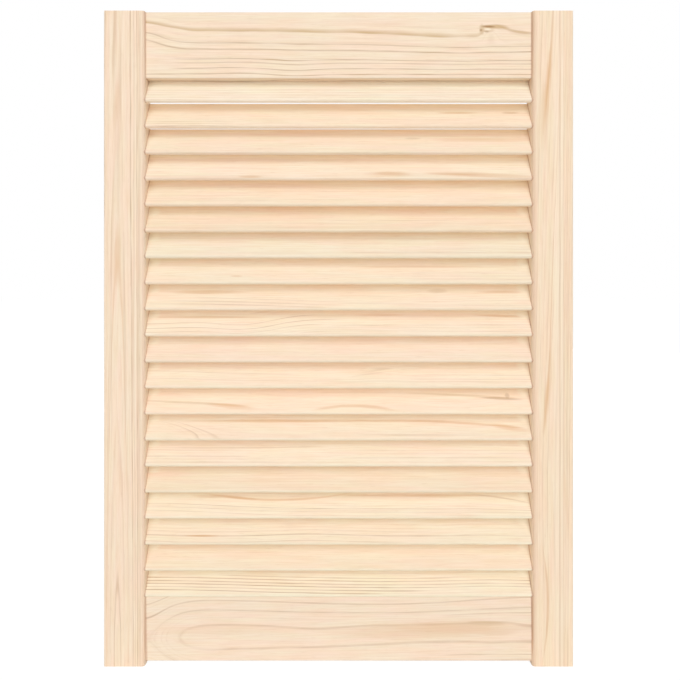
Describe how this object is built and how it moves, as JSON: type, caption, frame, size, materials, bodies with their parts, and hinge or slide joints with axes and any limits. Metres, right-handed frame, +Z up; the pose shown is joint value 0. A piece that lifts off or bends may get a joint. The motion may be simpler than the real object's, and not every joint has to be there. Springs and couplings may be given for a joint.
{
  "type": "louvred cabinet door",
  "caption": "Louvred cabinet door in solid pine: dowelled frame of stiles and rails with fixed sloping slats housed in the stiles.",
  "frame": {"origin": "middle of the bottom end, half way through the thickness, level with the lower ends of the stiles", "axes": "+X to the right seen from the front, -Y out of the front face, +Z up along the stiles"},
  "size_m": [0.494, 0.021, 0.69],
  "materials": {
    "pine_stile": "smooth sanded, unfinished",
    "pine_rail": "smooth sanded, unfinished",
    "pine_slat": "smooth sanded, unfinished",
    "beech_dowel": "plain turned"
  },
  "bodies": {
    "root": {"left_stile": "pine_stile", "right_stile": "pine_stile", "top_rail": "pine_rail", "bottom_rail": "pine_rail", "slat_01": "pine_slat", "slat_02": "pine_slat", "slat_03": "pine_slat", "slat_04": "pine_slat", "slat_05": "pine_slat", "slat_06": "pine_slat", "slat_07": "pine_slat", "slat_08": "pine_slat", "slat_09": "pine_slat", "slat_10": "pine_slat", "slat_11": "pine_slat", "slat_12": "pine_slat", "slat_13": "pine_slat", "slat_14": "pine_slat", "slat_15": "pine_slat", "slat_16": "pine_slat", "slat_17": "pine_slat", "slat_18": "pine_slat", "slat_19": "pine_slat", "slat_20": "pine_slat", "dowel_top_left_upper": "beech_dowel", "dowel_top_left_lower": "beech_dowel", "dowel_top_right_upper": "beech_dowel", "dowel_top_right_lower": "beech_dowel", "dowel_bottom_left_upper": "beech_dowel", "dowel_bottom_left_lower": "beech_dowel", "dowel_bottom_right_upper": "beech_dowel", "dowel_bottom_right_lower": "beech_dowel"}
  },
  "joints": []
}
